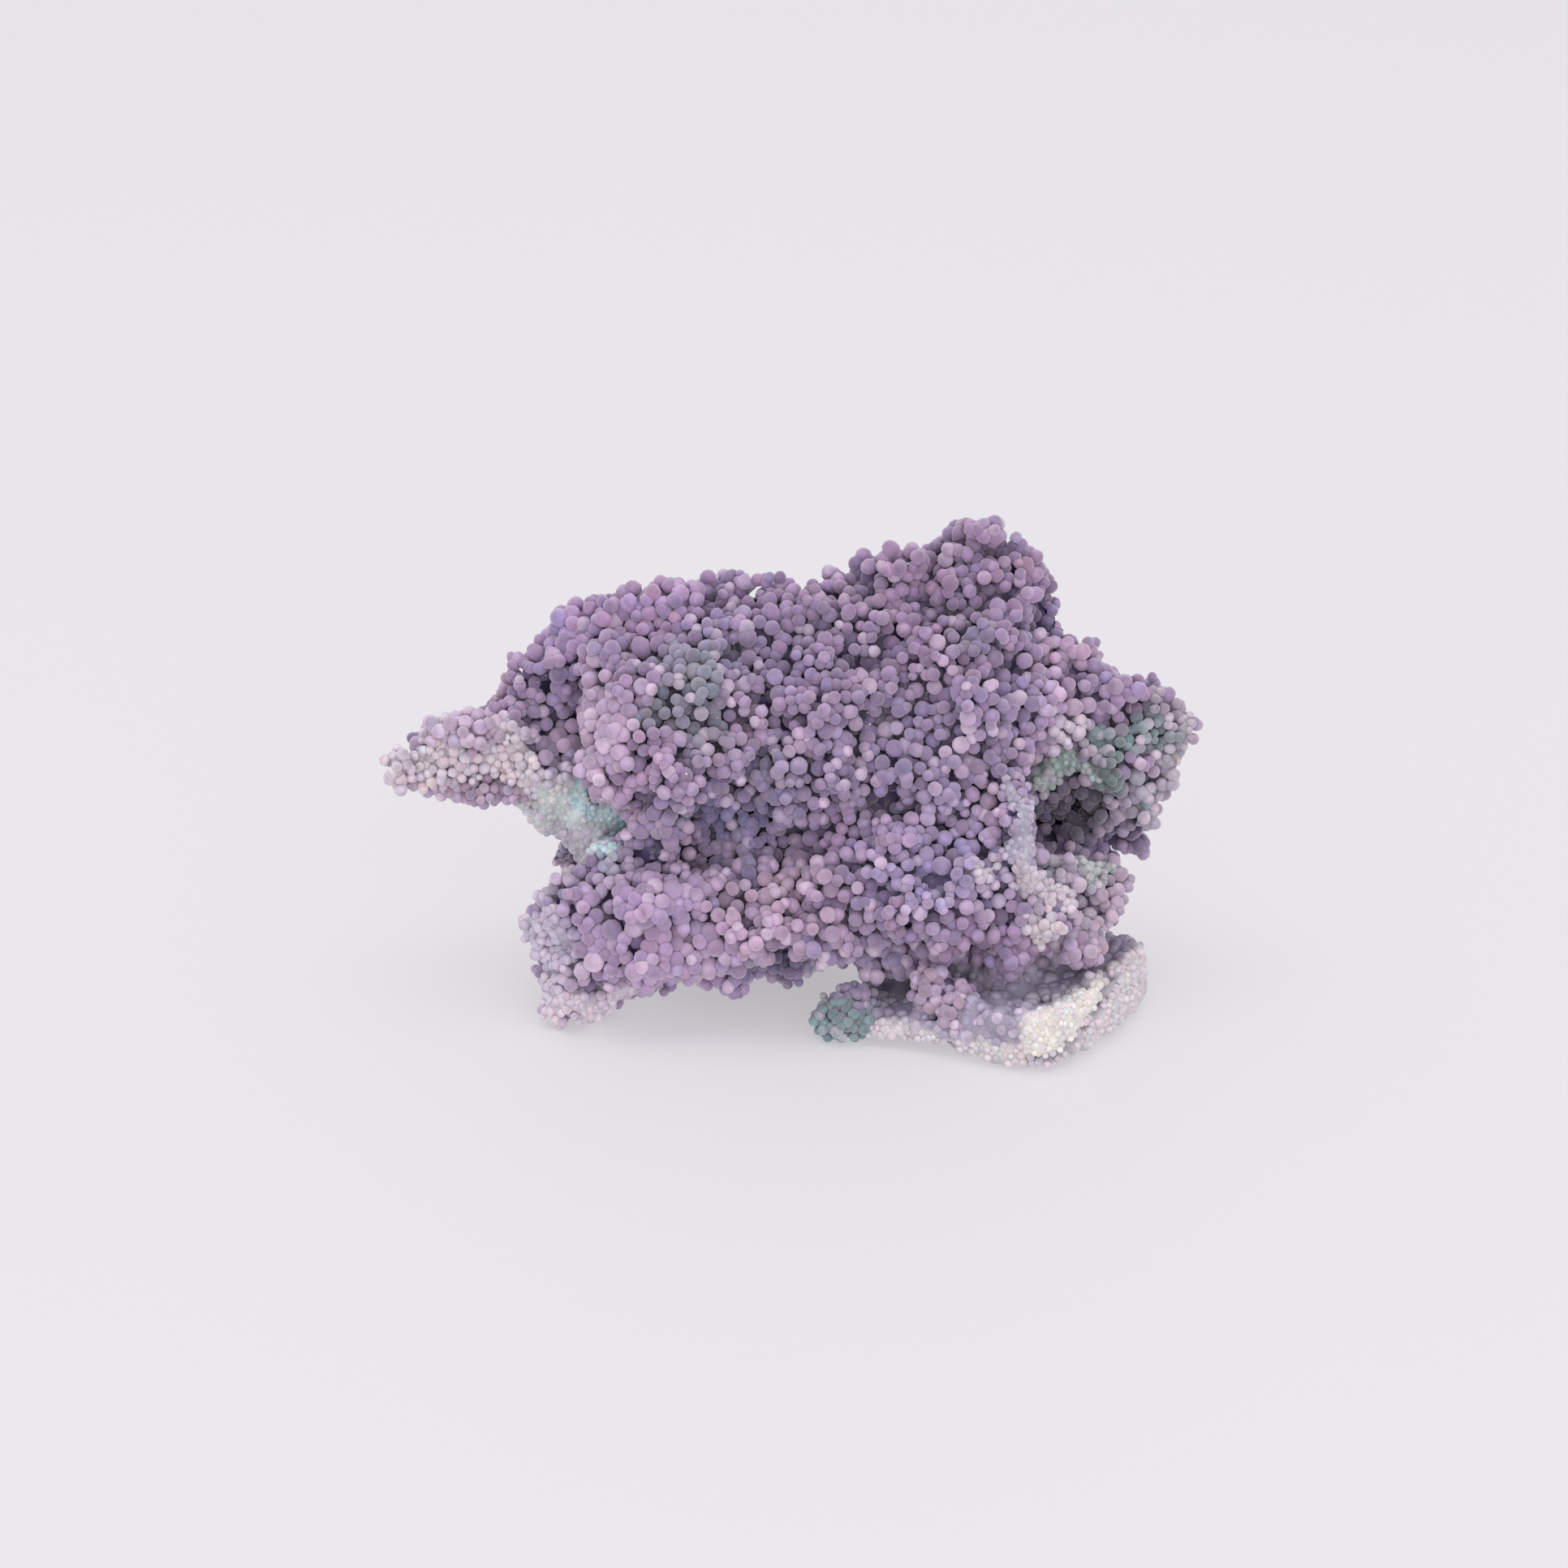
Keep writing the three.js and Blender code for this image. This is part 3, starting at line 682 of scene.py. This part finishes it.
ball_material, shader, place, tint = start_material("balls")
frost = place.noise(0.35, 3)
connect(shader, Base_Color=tint.scaled(place.noise(0.9).ramp(0.3, 0.7, 0.86, 1.0)),
        Roughness=frost.ramp(0.35, 0.65, 0.36, 0.55), Normal=frost.bump(0.25, 0.05),
        Subsurface_Weight=0.5, Subsurface_Scale=1.2 * MM, Subsurface_Radius=(1, 0.8, 1),
        Sheen_Weight=0.6, Sheen_Roughness=0.65, Sheen_Tint=(1, 0.9, 1, 1), Specular_IOR_Level=0.35, IOR=1.54)

fine = outer["fine"] > 0.5
dress("balls", pick(outer, ~fine), RINGS, AROUND, ball_material)
dress("rind", pick(outer, fine), DEEP_RINGS, DEEP_AROUND, ball_material)
dress("deep_balls", deep, DEEP_RINGS, DEEP_AROUND, ball_material)


# The sprouts
# Small bunches of fused balls of the same chalcedony that stand out from the rest, on the ledge and its
# knob, under the bulge and along the outline. Each is an ellipsoid filled with balls at random places. A row
# has its middle and half size in millimetres, number of balls, their size beside the usual ones, and colour.
SPROUTS = {
    "back of the ledge's bunch": ((19.2, -18.6, 8.4), (3.2, 2.8, 3.6), 50, 0.85, (0.39, 0.285, 0.40)),
    "front of the ledge's bunch": ((22.6, -21.6, 6.4), (2.6, 2.6, 3), 40, 0.9, (0.43, 0.31, 0.425)),
    "left under the bulge": ((20, -14, 13), (3.6, 3, 2.6), 30, 0.95, (0.33, 0.22, 0.37)),
    "middle under the bulge": ((30.5, -15, 12.6), (3.4, 3, 3.2), 30, 0.95, (0.30, 0.21, 0.38)),
    "right under the bulge": ((40.5, -13, 12.6), (4, 3, 2.6), 30, 0.95, (0.38, 0.28, 0.40)),
    "knob": ((6.4, -17.2, 3.2), (4.6, 3.4, 3), 120, 0.72, (0.15, 0.245, 0.25)),
    "top of the knob": ((7.6, -15.6, 5.8), (3.6, 2.8, 1.8), 36, 0.7, (0.24, 0.20, 0.32)),
    "under the left wing": ((-46.5, 2, 32.1), (6.5, 3, 2), 60, 0.7, (0.40, 0.30, 0.41)),
    "step of the crest": ((15.4, 6, 66.6), (3.5, 3, 2.4), 24, 1, USUAL[0]),
    "top of the left wing": ((-50, 1, 42.2), (7, 4, 2.4), 55, 0.9, (0.44, 0.35, 0.46)),
    "tip of the left wing": ((-59.8, -1, 36.8), (2, 3, 3.5), 28, 0.8, (0.60, 0.52, 0.57)),
    "top of the peak": ((27.5, 9, 70.4), (3, 2.6, 1.6), 16, 1, USUAL[0]),
    "behind the ledge": ((12.5, -12.5, 10.5), (4.5, 3, 2.8), 40, 0.95, (0.27, 0.20, 0.34)),
    "left of the shoulder": ((-33.5, 9, 56.6), (3.5, 4, 2), 20, 1.05, (0.36, 0.235, 0.42)),
    "top of the shoulder": ((-21, 7, 61.2), (6.5, 4, 1.8), 34, 1.05, (0.36, 0.235, 0.42)),
    "top of the right wing": ((48.3, 5.5, 47), (3, 3, 1.6), 14, 1, USUAL[0]),
}
SPROUT_PACKING, SPROUT_DEPTH, SPROUT_STRETCH = 0.52, 0.4, (0.95, 1.15)
SPROUT_TRIES = 4


def bunch(middle, half, count, size, colour):
    """Balls at random places in an ellipsoid, thinned so that they still overlap."""
    tries = count * SPROUT_TRIES
    way = unit(draw.normal(size=(tries, 3)))
    centre = middle + way * draw.random((tries, 1)) ** (1 / 3) * half
    radius = draw.uniform(*BALL_RADIUS, tries) * size
    kept = spread(centre, SPROUT_PACKING * radius)[:count]
    centre[:, 2] = np.maximum(centre[:, 2], STANDING * radius)
    return pick({"centre": centre, "radius": radius, "axis": way, "below": np.full(tries, SPROUT_DEPTH),
                 "colour": np.tile(colour, (tries, 1)), "stalk": 0 * radius,
                 "stretch": draw.uniform(*SPROUT_STRETCH, tries)}, kept)


sprouts = join(*(bunch(*row) for row in SPROUTS.values()))
dress("sprouts", coloured(sprouts), RINGS, AROUND, ball_material)


# The ledge's top
# Low domes of the same chalcedony, merged into a cloudy lavender sheet. They are thrown at random places on
# the ledge and sunk into the crust, so that only their tops show.
DOME_COUNT, DOME_PACKING = 9000, 0.6
# The least and the greatest radius, how many radii a dome is sunk, and how far it is raised again.
DOME_RADIUS, DOME_SUNK, DOME_PROUD = (0.7, 1.6), 0.66, 0.3
DOME_SHADES = (0.92, 1.12)

places, normals = scatter(DOME_COUNT)
top = (on_ledge(places) * (1 - on_rim(places)) > 0.5) & (normals[:, 2] > 0.5)
places, normals = places[top], normals[top]
radius = draw.uniform(*DOME_RADIUS, len(places))
shade = draw.uniform(*DOME_SHADES, (len(places), 1)) * survey(places)[0]
sunk = RIND_DEPTH + lumps(places) + DOME_SUNK * radius - DOME_PROUD
domes = {"centre": places - sunk[:, None] * normals, "radius": radius, "axis": normals,
         "stretch": np.ones(len(places)), "stalk": np.ones(len(places)), "colour": shade}
domes = pick(domes, spread(domes["centre"], DOME_PACKING * radius))
dress("domes", domes, DEEP_RINGS, DEEP_AROUND, crust_material)


# The glints
# Tiny crystals of quartz in the gaps between the balls, which catch the light. Each has eight faces, is
# pointed at both ends, and sits on the flank of a ball that lies deep.
GLINTS, GLINT_RADIUS, GLINT_STRETCH, GLINT_SPREAD = 700, (0.1, 0.2), 1.5, 0.8
GLINT_RINGS, GLINT_AROUND = (90,), 4
GLINT_HOST_DEPTH = 0.8

hosts = join(outer, deep)
hosts = pick(hosts, hosts["below"] > GLINT_HOST_DEPTH)
hosts = pick(hosts, draw.choice(len(hosts["radius"]), GLINTS, replace=False))
way = unit(hosts["axis"] + GLINT_SPREAD * draw.normal(size=hosts["axis"].shape))
glints = {"centre": hosts["centre"] + hosts["radius"][:, None] * way,
          "radius": draw.uniform(*GLINT_RADIUS, GLINTS), "axis": unit(draw.normal(size=way.shape)),
          "stretch": np.full(GLINTS, GLINT_STRETCH),
          "stalk": np.zeros(GLINTS), "colour": np.ones((GLINTS, 3))}
glint_material, shader, place, tint = start_material("glints")
connect(shader, Base_Color=tint.scaled(place.noise(2).ramp(0.3, 0.7, 0.8, 1)), Roughness=0.12, IOR=1.55)
dress("glints", glints, GLINT_RINGS, GLINT_AROUND, glint_material)
